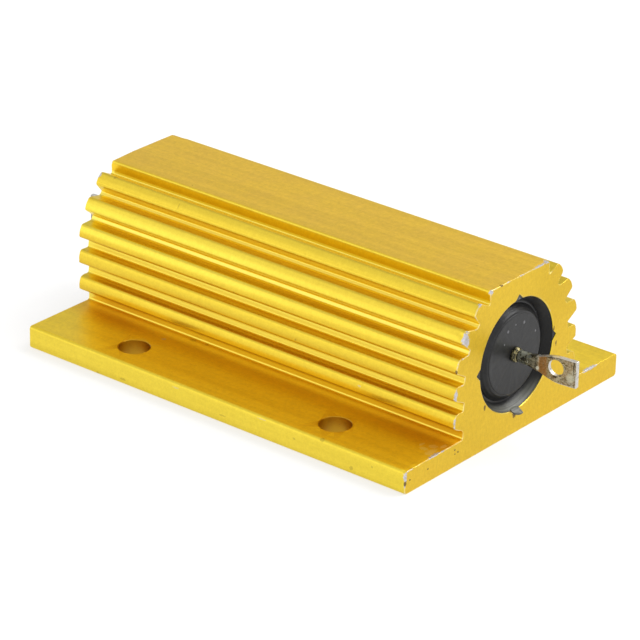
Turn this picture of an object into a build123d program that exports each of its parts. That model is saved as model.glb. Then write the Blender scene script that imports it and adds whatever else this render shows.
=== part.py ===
# A chassis mount resistor: a finned aluminium extrusion with a four-hole flange, bored from end to end
# to hold a wire-wound ceramic element that is moulded in black silicone, with a flattened lug at each end.
# Millimetres. X runs along the housing, Y across the flange, Z up from the base. The origin is the centre
# of the base, and the near end is the +X end.
import os
from math import cos, radians, sin, sqrt

from build123d import *

os.makedirs("parts", exist_ok=True)

# Housing extrusion
housing_length = 65.2
housing_height = 22.6
flange_width = 46.2
flange_thickness = 3.3
flange_edge_radius = 0.45
flange_root_radius = 0.35
land_width = 12.8
land_edge_radius = 0.3
bore_axis_height = 11.34

# Fins: the upper ones are seated round the bore axis and stand more and more upright towards the top,
# the lowest repeats the one above it further down the upright wall
root_radius = 11.2
fin_height = 1.95
fin_root_width = 3.15
fin_tip_width = 1.75
fin_tip_radius = 0.35
seated_fin_count = 4
lowest_seat_angle = -6.5
seat_angle_step = 18.1
lowest_fin_slope = 8.0
fin_slope_step = 10.0
bottom_fin_drop = 3.95
fin_overlap = 0.6

# Bore and its V keyways
bore_radius = 7.9
bore_edge_break = 0.08
keyway_count = 4
keyway_depth = 0.75
keyway_width = 1.6
keyway_nose_radius = 0.12
keyway_overlap = 0.12

# Mounting holes
mount_spacing_x = 35.0
mount_spacing_y = 37.0
mount_hole_diameter = 4.4
mount_hole_edge_break = 0.15
mount_hole_edge_angle = 90

# Ceramic core, ribbon and end caps
core_end_cover = 6.6
core_radius = 4.5
core_edge_break = 0.4
ribbon_width = 1.5
ribbon_thickness = 0.25
ribbon_pitch = 8.2
ribbon_end_gap = 0.1
cap_wall = 0.4
cap_end_wall = 0.6
cap_skirt_length = 4.0
cap_edge_break = 0.3

# Silicone moulding
moulding_end_recess = 0.12
groove_depth = 1.5
groove_outer_radius = 6.94
groove_inner_radius = 6.62
plateau_recess = 0.42
plateau_radius = 5.57
plateau_edge_break = 0.12
flash_tongue_length = 0.95

# Terminals: a round pin with a bead on the moulding, flattened beyond a crease into a lug that is bent
# a little about the crease
pin_radius = 0.85
bead_radius = 1.08
bead_length = 0.7
bead_edge_break = 0.2
neck_start = 2.1
neck_length = 1.6
neck_height = 2.2
lug_length = 5.57
lug_thickness = 0.65
lug_height = 3.75
lug_drop = 0.13
lug_bend = 5.3
lug_corner_radius = 0.12
lug_flare_length = 3.0
flare_bulge = 0.68
eye_radius = 1.12
eye_setback = 3.08
eye_rise = 0.13

# Clearances between pieces
seat_clearance = 0.02
ribbon_clearance = 0.04

# Reach within which a corner is taken to lie at a stated place
pick_reach = 0.01

# Sizes that follow
half_length = housing_length / 2
element_axis = Axis((0, 0, bore_axis_height), (1, 0, 0))
element_plane = Plane(origin=(0, 0, bore_axis_height), x_dir=(1, 0, 0), z_dir=(0, -1, 0))
cap_inner_radius = core_radius + seat_clearance
cap_outer_radius = cap_inner_radius + cap_wall
core_half = half_length - core_end_cover
cap_face_x = core_half + seat_clearance + cap_end_wall
cap_rim_x = core_half - cap_skirt_length
ribbon_inner_radius = core_radius + ribbon_clearance
ribbon_outer_radius = ribbon_inner_radius + ribbon_thickness
moulding_radius = bore_radius - seat_clearance
rim_x = half_length - moulding_end_recess
groove_x = half_length - groove_depth
plateau_x = half_length - plateau_recess
pin_hole_radius = pin_radius + seat_clearance


def corners_at(corners, axis, place):
    """The corners that lie at a place along an axis."""
    return corners.filter_by_position(axis, place - pick_reach, place + pick_reach)


def keyway(gap):
    """A V keyway's section at the top of the bore, drawn from the bore axis and smaller by the gap."""
    half_width = keyway_width / 2 - gap
    mouth = sqrt(bore_radius**2 - (keyway_width / 2) ** 2)
    with BuildSketch() as outline:
        with BuildLine():
            Polyline(
                (-half_width, mouth - keyway_overlap),
                (half_width, mouth - keyway_overlap),
                (half_width, mouth),
                (0, bore_radius + keyway_depth - gap),
                (-half_width, mouth),
                close=True,
            )
        make_face()
        fillet(outline.vertices().group_by(Axis.Y)[-1], keyway_nose_radius)
    return outline.sketch


# One fin, drawn pointing along local X from its seat
with BuildSketch() as fin:
    with BuildLine():
        Polyline(
            (-fin_overlap, -fin_root_width / 2),
            (0, -fin_root_width / 2),
            (fin_height, -fin_tip_width / 2),
            (fin_height, fin_tip_width / 2),
            (0, fin_root_width / 2),
            (-fin_overlap, fin_root_width / 2),
            close=True,
        )
    make_face()
    fillet(fin.vertices().group_by(Axis.X)[-1], fin_tip_radius)

fin_places = []
for step in range(seated_fin_count):
    seat_angle = radians(lowest_seat_angle + step * seat_angle_step)
    fin_places.append(
        Location(
            (root_radius * cos(seat_angle), bore_axis_height + root_radius * sin(seat_angle)),
            lowest_fin_slope + step * fin_slope_step,
        )
    )
lowest_seat = fin_places[0].position
fin_places.append(Location((lowest_seat.X, lowest_seat.Y - bottom_fin_drop), lowest_fin_slope))

# Housing
with BuildPart() as housing:
    with BuildSketch(Plane.YZ.offset(-half_length)) as section:
        Rectangle(flange_width, flange_thickness, align=(Align.CENTER, Align.MIN))
        Rectangle(2 * root_radius, bore_axis_height, align=(Align.CENTER, Align.MIN))
        with Locations((0, bore_axis_height)):
            Circle(root_radius)
        Rectangle(land_width, housing_height, align=(Align.CENTER, Align.MIN))
        fillet(section.vertices().group_by(Axis.Y)[-1], land_edge_radius)
        flange_sides = section.vertices().group_by(Axis.X)
        fillet(flange_sides[0] + flange_sides[-1], flange_edge_radius)
        flange_top = corners_at(section.vertices(), Axis.Y, flange_thickness)
        fillet(corners_at(flange_top, Axis.X, -root_radius), flange_root_radius)
        flange_top = corners_at(section.vertices(), Axis.Y, flange_thickness)
        fillet(corners_at(flange_top, Axis.X, root_radius), flange_root_radius)
        for place in fin_places:
            with Locations(place):
                add(fin.sketch)
            with Locations(Location((-place.position.X, place.position.Y), 180 - place.orientation.Z)):
                add(fin.sketch)
        with Locations((0, bore_axis_height)):
            Circle(bore_radius, mode=Mode.SUBTRACT)
            with PolarLocations(0, keyway_count):
                add(keyway(0), mode=Mode.SUBTRACT)
    extrude(amount=housing_length)
    for end_face in housing.faces().filter_by(Axis.X):
        chamfer(end_face.inner_wires().edges(), bore_edge_break)
    with Locations(Plane.XY.offset(flange_thickness)):
        with GridLocations(mount_spacing_x, mount_spacing_y, 2, 2):
            CounterSinkHole(
                mount_hole_diameter / 2,
                mount_hole_diameter / 2 + mount_hole_edge_break,
                depth=flange_thickness,
                counter_sink_angle=mount_hole_edge_angle,
            )
housing.part.label = "housing"
export_step(housing.part, "parts/housing.step")

# Ceramic core
with BuildPart() as core:
    with BuildSketch(Plane.YZ.offset(-core_half)):
        with Locations((0, bore_axis_height)):
            Circle(core_radius)
    extrude(amount=2 * core_half)
    chamfer(core.edges().filter_by(GeomType.CIRCLE), core_edge_break)
core.part.label = "core"
export_step(core.part, "parts/core.step")

# Resistance ribbon, wound from one cap's rim to the other's
ribbon_run = 2 * (cap_rim_x - ribbon_end_gap) - ribbon_width
with BuildPart() as winding:
    with BuildLine() as ribbon_path:
        Helix(
            pitch=ribbon_pitch,
            height=ribbon_run,
            radius=(ribbon_inner_radius + ribbon_outer_radius) / 2,
            center=(-ribbon_run / 2, 0, bore_axis_height),
            direction=(1, 0, 0),
        )
    start = ribbon_path.line @ 0
    outward = Vector(0, start.Y, start.Z - bore_axis_height)
    with BuildSketch(Plane(origin=start, x_dir=outward, z_dir=ribbon_path.line % 0)):
        Rectangle(ribbon_thickness, ribbon_width)
    sweep(path=ribbon_path.line, is_frenet=True)
winding.part.label = "winding"
export_step(winding.part, "parts/winding.step")

# End caps, pressed on the core's ends
with BuildPart() as cap_near:
    with BuildSketch(element_plane):
        with BuildLine():
            Polyline(
                (cap_face_x, 0),
                (cap_face_x, cap_outer_radius),
                (cap_rim_x, cap_outer_radius),
                (cap_rim_x, cap_inner_radius),
                (cap_face_x - cap_end_wall, cap_inner_radius),
                (cap_face_x - cap_end_wall, 0),
                close=True,
            )
        make_face()
    revolve(axis=element_axis)
    chamfer(cap_near.faces().sort_by(Axis.X)[-1].edges(), cap_edge_break)
cap_near.part.label = "cap_near"
export_step(cap_near.part, "parts/cap_near.step")

with BuildPart() as cap_far:
    add(cap_near.part)
    mirror(about=Plane.YZ)
    split(bisect_by=Plane.YZ, keep=Keep.BOTTOM)
cap_far.part.label = "cap_far"
export_step(cap_far.part, "parts/cap_far.step")

# Silicone moulding: a sleeve round the element, with a ring groove and a flat plateau at each end,
# ribs that fill the keyways, and a tongue of flash that stands out of the lowest one at the near end
with BuildPart() as moulding:
    with BuildSketch(element_plane) as sleeve:
        with BuildLine():
            Polyline(
                (0, moulding_radius),
                (rim_x, moulding_radius),
                (groove_x, groove_outer_radius),
                (groove_x, groove_inner_radius),
                (plateau_x, plateau_radius),
                (plateau_x, pin_hole_radius),
                (cap_face_x + seat_clearance, pin_hole_radius),
                (cap_face_x + seat_clearance, cap_outer_radius + seat_clearance),
                (cap_rim_x - seat_clearance, cap_outer_radius + seat_clearance),
                (cap_rim_x - seat_clearance, ribbon_outer_radius + ribbon_clearance),
                (0, ribbon_outer_radius + ribbon_clearance),
                close=True,
            )
        make_face()
        chamfer(corners_at(sleeve.vertices(), Axis.Y, plateau_radius), plateau_edge_break)
        mirror(about=Plane.YZ)
    revolve(axis=element_axis)
    with BuildSketch(Plane.YZ.offset(-rim_x)):
        with Locations((0, bore_axis_height)):
            with PolarLocations(0, keyway_count):
                add(keyway(seat_clearance))
    extrude(amount=2 * rim_x)
    with BuildSketch(Plane.YZ.offset(rim_x)):
        with Locations(Location((0, bore_axis_height), 180)):
            add(keyway(seat_clearance))
    extrude(amount=flash_tongue_length)
moulding.part.label = "moulding"
export_step(moulding.part, "parts/moulding.step")


def terminal(side):
    """The terminal of one end: its round pin starts on the cap, its lug ends outside the housing."""
    bend = radians(lug_bend)
    neck_x = half_length + neck_start
    crease_x = neck_x + neck_length
    crown = lug_height / 2 - lug_drop
    keel = -lug_height / 2 - lug_drop
    neck_half = neck_height / 2
    flare_middle = lug_flare_length / 2
    pin_plane = Plane(origin=(0, 0, bore_axis_height), x_dir=(side, 0, 0), z_dir=(0, -side, 0))
    lug_plane = Plane(
        origin=(side * crease_x, 0, bore_axis_height),
        x_dir=(side * cos(bend), side * sin(bend), 0),
        z_dir=(side * sin(bend), -side * cos(bend), 0),
    )
    neck_plane = Plane(origin=(side * neck_x, 0, bore_axis_height), x_dir=(0, 0, 1), z_dir=(side, 0, 0))
    crease_plane = Plane(origin=lug_plane.origin, x_dir=(0, 0, 1), z_dir=lug_plane.x_dir)
    with BuildPart() as blank:
        with BuildSketch(pin_plane) as turned:
            with BuildLine():
                Polyline(
                    (cap_face_x, 0),
                    (cap_face_x, pin_radius),
                    (plateau_x, pin_radius),
                    (plateau_x, bead_radius),
                    (plateau_x + bead_length, bead_radius),
                    (plateau_x + bead_length, pin_radius),
                    (neck_x, pin_radius),
                    (neck_x, 0),
                    close=True,
                )
            make_face()
            chamfer(turned.vertices().group_by(Axis.Y)[-1].sort_by(Axis.X)[-1], bead_edge_break)
        revolve(axis=element_axis)
        with BuildSketch(neck_plane):
            Circle(pin_radius)
        with BuildSketch(crease_plane):
            Rectangle(neck_height, lug_thickness)
        loft()
        with BuildSketch(lug_plane) as blade:
            with BuildLine():
                Line((0, -neck_half), (0, neck_half))
                ThreePointArc(
                    (0, neck_half),
                    (flare_middle, neck_half + (crown - neck_half) * flare_bulge),
                    (lug_flare_length, crown),
                )
                Polyline(
                    (lug_flare_length, crown),
                    (lug_length, crown),
                    (lug_length, keel),
                    (lug_flare_length, keel),
                )
                ThreePointArc(
                    (lug_flare_length, keel),
                    (flare_middle, -neck_half + (keel + neck_half) * flare_bulge),
                    (0, -neck_half),
                )
            make_face()
            fillet(blade.vertices().group_by(Axis.X)[-1], lug_corner_radius)
            with Locations((lug_length - eye_setback, eye_rise)):
                Circle(eye_radius, mode=Mode.SUBTRACT)
        extrude(amount=lug_thickness / 2, both=True)
    return blank.part


terminal_near = terminal(1)
terminal_near.label = "terminal_near"
export_step(terminal_near, "parts/terminal_near.step")

terminal_far = terminal(-1)
terminal_far.label = "terminal_far"
export_step(terminal_far, "parts/terminal_far.step")
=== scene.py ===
import math

import bmesh
import bpy
import numpy as np
from mathutils import Matrix, Vector, noise


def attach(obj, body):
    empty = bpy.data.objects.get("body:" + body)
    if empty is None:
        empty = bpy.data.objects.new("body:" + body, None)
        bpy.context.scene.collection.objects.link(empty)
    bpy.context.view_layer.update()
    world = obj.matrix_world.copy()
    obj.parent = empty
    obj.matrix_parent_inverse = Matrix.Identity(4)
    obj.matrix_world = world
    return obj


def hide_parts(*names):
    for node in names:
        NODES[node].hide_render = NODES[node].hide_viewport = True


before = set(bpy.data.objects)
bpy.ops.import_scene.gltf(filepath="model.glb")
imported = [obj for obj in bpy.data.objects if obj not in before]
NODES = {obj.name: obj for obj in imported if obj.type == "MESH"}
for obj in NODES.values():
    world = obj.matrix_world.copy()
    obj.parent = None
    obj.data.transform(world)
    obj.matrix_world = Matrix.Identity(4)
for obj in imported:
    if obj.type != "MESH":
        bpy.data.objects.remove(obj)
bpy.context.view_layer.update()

MM = 0.001
WELD = 1e-7

# Sizes repeated from the solids, in millimetres
HALF_LENGTH = 32.6
AXIS_Z = 11.34
BORE_R = 7.9
BORE_EDGE = 0.08
FLANGE_TOP = 3.3
LAND_TOP = 22.6
LAND_R = 0.3
HOLE_R = 2.2
HOLE_X, HOLE_Y = 17.5, 18.5
PLATEAU_X = 32.18
PLATEAU_R = 5.57
GROOVE_X = 31.1
GROOVE_IN = 6.62
GROOVE_OUT = 6.94
RIM_X = 32.48
PIN_R = 0.85
NECK_X = 34.7
CREASE_X = 36.3
LUG_LENGTH = 5.57
LUG_HALF_T = 0.325
LUG_TOP = 1.745
LUG_BOTTOM = -2.005
LUG_BEND = math.radians(5.3)
EYE_AT = (2.49, 0.13)
EYE_R = 1.12


# Mesh helpers
def mark_edges(bm, smooth_angle):
    """Faces are smooth, and edges that turn by more than an angle in degrees are sharp."""
    limit = math.radians(smooth_angle)
    for f in bm.faces:
        f.smooth = True
    for e in bm.edges:
        e.smooth = len(e.link_faces) == 2 and e.calc_face_angle(math.pi) < limit


def new_object(name, bm, smooth_angle=34.0):
    """A mesh object in metres from a bmesh in millimetres, smooth but for its sharp edges."""
    bmesh.ops.recalc_face_normals(bm, faces=bm.faces[:])
    mark_edges(bm, smooth_angle)
    mesh = bpy.data.meshes.new(name)
    bm.to_mesh(mesh)
    bm.free()
    mesh.transform(Matrix.Scale(MM, 4))
    obj = bpy.data.objects.new(name, mesh)
    bpy.context.scene.collection.objects.link(obj)
    return obj


def bridge(bm, a, b):
    """A band of faces between two closed rings that have the same count of points."""
    n = len(a)
    for k in range(n):
        bm.faces.new((a[k], a[(k + 1) % n], b[(k + 1) % n], b[k]))


def skin(bm, rings):
    for a, b in zip(rings, rings[1:]):
        bridge(bm, a, b)


def weighted(obj):
    m = obj.modifiers.new("weighted", "WEIGHTED_NORMAL")
    m.keep_sharp = True
    m.weight = 60


def bake_modifiers(obj):
    """The object's mesh becomes what its modifiers make of it."""
    graph = bpy.context.evaluated_depsgraph_get()
    mesh = bpy.data.meshes.new_from_object(obj.evaluated_get(graph))
    obj.modifiers.clear()
    obj.data = mesh


def lathe_cutter(profile, origin, axis_z, count=72):
    """A closed turned solid, from (height, radius) pairs along an axis, to cut holes with."""
    bm = bmesh.new()
    turn = Vector((0, 0, 1)).rotation_difference(Vector(axis_z)).to_matrix()
    rings = []
    for h, r in profile:
        ring = []
        for k in range(count):
            a = 2 * math.pi * k / count
            point = turn @ Vector((r * math.cos(a), r * math.sin(a), h)) + Vector(origin)
            ring.append(bm.verts.new(point))
        rings.append(ring)
    skin(bm, rings)
    bm.faces.new(rings[0][::-1])
    bm.faces.new(rings[-1])
    return new_object("cutter", bm)


def cut(obj, cutters):
    for c in cutters:
        m = obj.modifiers.new("cut", "BOOLEAN")
        m.operation = "DIFFERENCE"
        m.solver = "EXACT"
        m.object = c
    bake_modifiers(obj)
    for c in cutters:
        bpy.data.objects.remove(c)


def resharpen(obj, smooth_angle=34.0):
    """After a cut, edges are marked smooth or sharp again by their angle."""
    bm = bmesh.new()
    bm.from_mesh(obj.data)
    bmesh.ops.remove_doubles(bm, verts=bm.verts[:], dist=WELD)
    mark_edges(bm, smooth_angle)
    bm.to_mesh(obj.data)
    bm.free()


# Outlines, as lists of (y, z) in millimetres
def between(p, q, u):
    return p[0] + (q[0] - p[0]) * u, p[1] + (q[1] - p[1]) * u


def turns_of(loop):
    """How far an outline turns at each of its points, in radians."""
    out = []
    for i, q in enumerate(loop):
        p, r = loop[i - 1], loop[(i + 1) % len(loop)]
        a = Vector((q[0] - p[0], q[1] - p[1]))
        b = Vector((r[0] - q[0], r[1] - q[1]))
        out.append(math.atan2(a.x * b.y - a.y * b.x, a.dot(b)))
    return out


def node_loops(node):
    """The outlines of the housing's end face and of its bore wall."""
    bm = bmesh.new()
    bm.from_mesh(node.data)
    bmesh.ops.remove_doubles(bm, verts=bm.verts[:], dist=WELD)
    end = max(v.co.x for v in bm.verts)
    outer, inner = [], []
    for e in bm.edges:
        if len(e.link_faces) != 2 or abs(e.verts[0].co.x - e.verts[1].co.x) > 1e-6:
            continue
        a, b = (abs(f.normal.x) for f in e.link_faces)
        x = e.verts[0].co.x
        if x > end - 1e-6 and max(a, b) > 0.99 and min(a, b) < 0.2:
            outer.append(e)
        elif end - 0.5 * MM < x < end - 1e-6 and 0.3 < max(a, b) < 0.9 and min(a, b) < 0.2:
            inner.append(e)
    loops = []
    for edges in (outer, inner):
        links = {}
        for e in edges:
            a, b = e.verts
            links.setdefault(a, []).append(b)
            links.setdefault(b, []).append(a)
        start = min(links, key=lambda v: (v.co.z, v.co.y))
        path, last, here = [start], None, start
        while True:
            ways = [v for v in links[here] if v is not last]
            last, here = here, ways[0]
            if here is start:
                break
            path.append(here)
        points = [(v.co.y / MM, v.co.z / MM) for v in path]
        area = sum(p[0] * q[1] - q[0] * p[1] for p, q in zip(points, points[1:] + points[:1]))
        loops.append(points if area > 0 else points[::-1])
    bm.free()
    return loops


def refine_arcs(loop, longest=0.4):
    """Short chords of a rounding get a middle point on the arc that they stand for."""
    n, turns = len(loop), turns_of(loop)
    out = []
    for i, p in enumerate(loop):
        q = loop[(i + 1) % n]
        out.append(p)
        dx, dy = q[0] - p[0], q[1] - p[1]
        length = math.hypot(dx, dy)
        t0, t1 = turns[i], turns[(i + 1) % n]
        if length < longest and t0 * t1 > 0 and all(0.06 < abs(t) < 0.7 for t in (t0, t1)):
            bulge = length / 2 * math.tan(max(t0, t1, key=abs) / 4)
            out.append(((p[0] + q[0]) / 2 + dy / length * bulge, (p[1] + q[1]) / 2 - dx / length * bulge))
    return out


def round_tips(loop, upper=0.58, lower=0.42, steps=12):
    """The fins' tips are rounded more fully than the drawn outline has them, and the land's corners evenly."""
    n, turns = len(loop), turns_of(loop)
    out, i = [], 0
    while i < n:
        j = i
        while j + 1 < n and turns[j] > 0.06 and turns[j + 1] > 0.06 and math.dist(loop[j], loop[j + 1]) < 0.1:
            j += 1
        if j - i < 5 or loop[i][1] < FLANGE_TOP + 1:
            out.append(loop[i])
            i += 1
            continue
        p, a, b, q = (Vector(loop[k % n]) for k in (i - 1, i, j, j + 1))
        d0, d1 = (a - p).normalized(), (q - b).normalized()
        whole = math.atan2(d0.x * d1.y - d0.y * d1.x, d0.dot(d1))
        corner = a + d0 * ((b - a).length / 2 / math.cos(whole / 2))
        land = max(a.y, b.y) > LAND_TOP - 0.6
        r = LAND_R if land else upper if (a.x < 0) == (abs(d1.y) > abs(d0.y)) else lower
        reach = r * math.tan(whole / 2)
        centre = corner - d0 * reach + Vector((-d0.y, d0.x)) * r
        for k in range(steps + 1):
            arm = Vector((d0.y, -d0.x)) * r
            arm.rotate(Matrix.Rotation(whole * k / steps, 2))
            out.append(tuple(centre + arm))
        i = j + 1
    return out


def divide_fins(loop, pitch=0.3, crown=0.06):
    """The fins' faces get points close together, so that chips and dents can be pressed into them.
    A fin's tip is drawn slightly crowned."""
    out = []
    for p, q in zip(loop, loop[1:] + loop[:1]):
        out.append(p)
        length = math.dist(p, q)
        fin = min(p[1], q[1]) > FLANGE_TOP + 0.1 and length < 4
        flange = abs(p[0]) > 22.9 and abs(q[0]) > 22.9
        tip = fin and length > 0.6 and min(math.hypot(c[0], c[1] - AXIS_Z) for c in (p, q)) > 12.3 and abs(p[0]) > 8
        floor = fin and length < 1.3 and not tip and max(abs(p[0]), abs(q[0])) < 11.6
        count = max(1, round(length / (0.13 if floor else pitch))) if fin or flange else max(1, round(length / 4.0))
        nx, ny = (q[1] - p[1]) / length, (p[0] - q[0]) / length
        for k in range(1, count):
            u = k / count
            rise = crown * 4 * u * (1 - u) if tip else 0.0
            x, y = between(p, q, u)
            out.append((x + nx * rise, y + ny * rise))
    return out


# Where the notches' inside corners go: a corner's (|y|, z) and its move
FEET = [((8.582, 18.537), (-0.094, 0.117)), ((10.411, 15.468), (-0.074, 0.197)), ((11.18, 12.004), (0.0, 0.2)),
        ((11.198, 11.572), (0.0, -0.32)), ((11.2, 7.621), (0.0, -0.21)), ((6.4, 20.758), (-0.07, -0.2))]
# Painted highlight along each notch's floor: (least |y|, greatest |y|, lowest z, highest z)
NOTCH_HIGHLIGHTS = [(8.2, 9.15, 18.02, 18.82), (10.1, 10.8, 14.86, 15.72), (10.9, 11.5, 11.1, 12.2), (10.9, 11.5, 7.36, 8.16),
        (10.9, 11.9, 3.42, 4.42), (6.1, 6.8, 20.5, 21.1)]
# Where painted shade deepens down the three lower fins' faces: (from z, to z)
FIN_SHADE_BANDS = [(14.35, 13.45), (10.6, 9.65), (6.7, 5.7)]


def round_feet(loop, steps=6):
    """The inside corners of the notches are rounded, more so at the foot of each than under the fin above."""
    n, turns = len(loop), turns_of(loop)
    loop = [p for i, p in enumerate(loop)
            if not (0.3 < turns[i] < 0.4 and min(turns[i - 1], turns[(i + 1) % n]) < -1.0)]
    n = len(loop)
    feet = [i for i, turn in enumerate(turns_of(loop)) if turn < -1.0]

    def walk(i, way, left):
        gone = []
        while True:
            j = (i + way) % n
            length = math.dist(loop[i], loop[j])
            if length > left:
                return between(loop[i], loop[j], left / length), gone
            left -= length
            gone.append(j)
            i = j

    partner = {i: [j for j in feet if j != i and math.dist(loop[j], loop[i]) < 1.2] for i in feet}
    unmoved, loop = loop, list(loop)
    for i in feet:
        if partner[i]:
            # The floor leans out at its foot
            y, z = loop[i]
            lean = 0.09 if loop[partner[i][0]][1] > z else -0.07
            loop[i] = (y + lean * (1 if y > 0 else -1), z)
    for i in feet:
        y, z = unmoved[i]
        for (fy, fz), (dy, dz) in FEET:
            if math.hypot(abs(y) - fy, z - fz) < 0.1:
                loop[i] = (loop[i][0] + (dy if y > 0 else -dy), loop[i][1] + dz)
    swap, drop = {}, set()
    for i in feet:
        c = loop[i]
        others = partner[i]
        if not others:
            reach = (0.5, 0.45) if c[0] < 0 else (0.45, 0.5)
        else:
            foot = loop[others[0]][1] > c[1]
            before = others[0] < i
            floor, flank = 0.19, 0.36 if foot else 0.26
            reach = (floor, flank) if before else (flank, floor)
        (a, back), (b, on) = walk(i, -1, reach[0]), walk(i, 1, reach[1])
        drop.update(back + on)
        swap[i] = [tuple((1 - t) ** 2 * a[m] + 2 * t * (1 - t) * c[m] + t * t * b[m] for m in (0, 1))
                   for t in (k / steps for k in range(steps + 1))]
    out = []
    for i, p in enumerate(loop):
        out += swap[i] if i in swap else [] if i in drop else [p]
    return out


def inward(loop):
    """Each point's mitred direction into the metal, for a loop that runs anticlockwise round it."""
    dirs = []
    n = len(loop)
    for i, p in enumerate(loop):
        a, b = loop[i - 1], loop[(i + 1) % n]
        d0 = Vector((p[0] - a[0], p[1] - a[1])).normalized()
        d1 = Vector((b[0] - p[0], b[1] - p[1])).normalized()
        n0, n1 = Vector((-d0.y, d0.x)), Vector((-d1.y, d1.x))
        dirs.append((n0 + n1) / max(0.35, 1 + n0.dot(n1)))
    return dirs


def hollowness(loop, rays=25, reach=60.0):
    """How shut in each point of an outline is, from 0 in the open to 1 deep in a notch."""
    def cross(a, b):
        return a[..., 0] * b[..., 1] - a[..., 1] * b[..., 0]

    pts = np.array(loop)
    seg = (np.roll(pts, -1, axis=0) - pts)[None]
    out = []
    normals = -np.array([tuple(d) for d in inward(loop)])
    normals /= np.linalg.norm(normals, axis=1)[:, None]
    turn = np.radians(np.linspace(-80, 80, rays))
    weight = np.cos(turn)
    for p, n in zip(pts, normals):
        d = np.stack([n[0] * np.cos(turn) - n[1] * np.sin(turn), n[0] * np.sin(turn) + n[1] * np.cos(turn)], 1)
        d = d[:, None]
        w = (pts - (p + n * 0.02))[None]
        den = cross(d, seg)
        den = np.where(np.abs(den) < 1e-9, 1e-9, den)
        t, u = cross(w, seg) / den, cross(w, d) / den
        hit = np.any((t > 1e-4) & (t < reach) & (u >= 0) & (u <= 1), axis=1)
        out.append(float((weight * hit).sum() / weight.sum()))
    return out


# Housing: the end's broken edge, and the narrow ring of the end face inside it
EDGE = 0.07
RING = 0.13
END_STEPS = [(0.0, EDGE), (0.3 * EDGE, 0.3 * EDGE), (EDGE, 0.0)]

# Chips and knocks along the near end: centre (y, z), radius and depth in millimetres
CHIPS = [
    (-11.45, 18.1, 1.15, 0.22), (-11.1, 17.0, 0.7, 0.15), (-8.6, 21.5, 0.45, 0.12),
    (-13.15, 14.4, 0.75, 0.13), (-13.4, 11.55, 0.45, 0.16), (-13.1, 10.0, 0.8, 0.12),
    (-13.2, 7.3, 0.6, 0.12), (-13.2, 5.9, 0.5, 0.1), (-23.1, 3.1, 0.7, 0.22),
    (-23.1, 1.9, 0.5, 0.16), (6.3, 22.55, 0.6, 0.2), (5.0, 22.6, 0.4, 0.1),
    (-4.1, 22.6, 0.35, 0.14), (-17.0, 3.3, 0.6, 0.08), (16.9, 3.3, 0.7, 0.1),
    (-6.4, 22.4, 0.4, 0.14), (11.3, 18.6, 0.5, 0.12), (13.4, 9.9, 0.45, 0.1),
]


def press(co):
    """Where a point of the housing moves to, once the end's edges are knocked and worn."""
    depth = 0.0
    side = 1 if co.x > 0 else -1
    away = HALF_LENGTH - abs(co.x)
    for y, z, r, d in CHIPS:
        dist = math.sqrt((co.y * side - y) ** 2 + (co.z - z) ** 2 + (away * 0.8) ** 2) / r
        if dist < 1:
            rough = 0.6 + 0.8 * noise.noise(co * 2.2 + Vector((side * 9, 0, 0)))
            depth = max(depth, d * (1 - dist * dist) * max(0.0, rough))
    fine = noise.noise(Vector((co.x * 0.9 + side * 5, co.y * 1.3, co.z * 1.3)))
    return depth + 0.018 * max(0.0, fine) * max(0.0, 1 - away / 0.5)


def untangle(moved, fixed, outline):
    """Points moved in from a loop, drawn back towards it wherever neighbours have crossed over."""
    moved, n = list(moved), len(outline)
    sides = [Vector(outline[(k + 1) % n]) - Vector(outline[k]) for k in range(n)]
    for _ in range(20):
        crossed = [k for k, side in enumerate(sides)
                   if (moved[(k + 1) % n] - moved[k]).dot(side) < 0.1 * side.length_squared]
        if not crossed:
            break
        for j in {j % n for k in crossed for j in (k, k + 1)}:
            moved[j] = moved[j].lerp(fixed[j], 0.2)
    return moved


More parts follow.
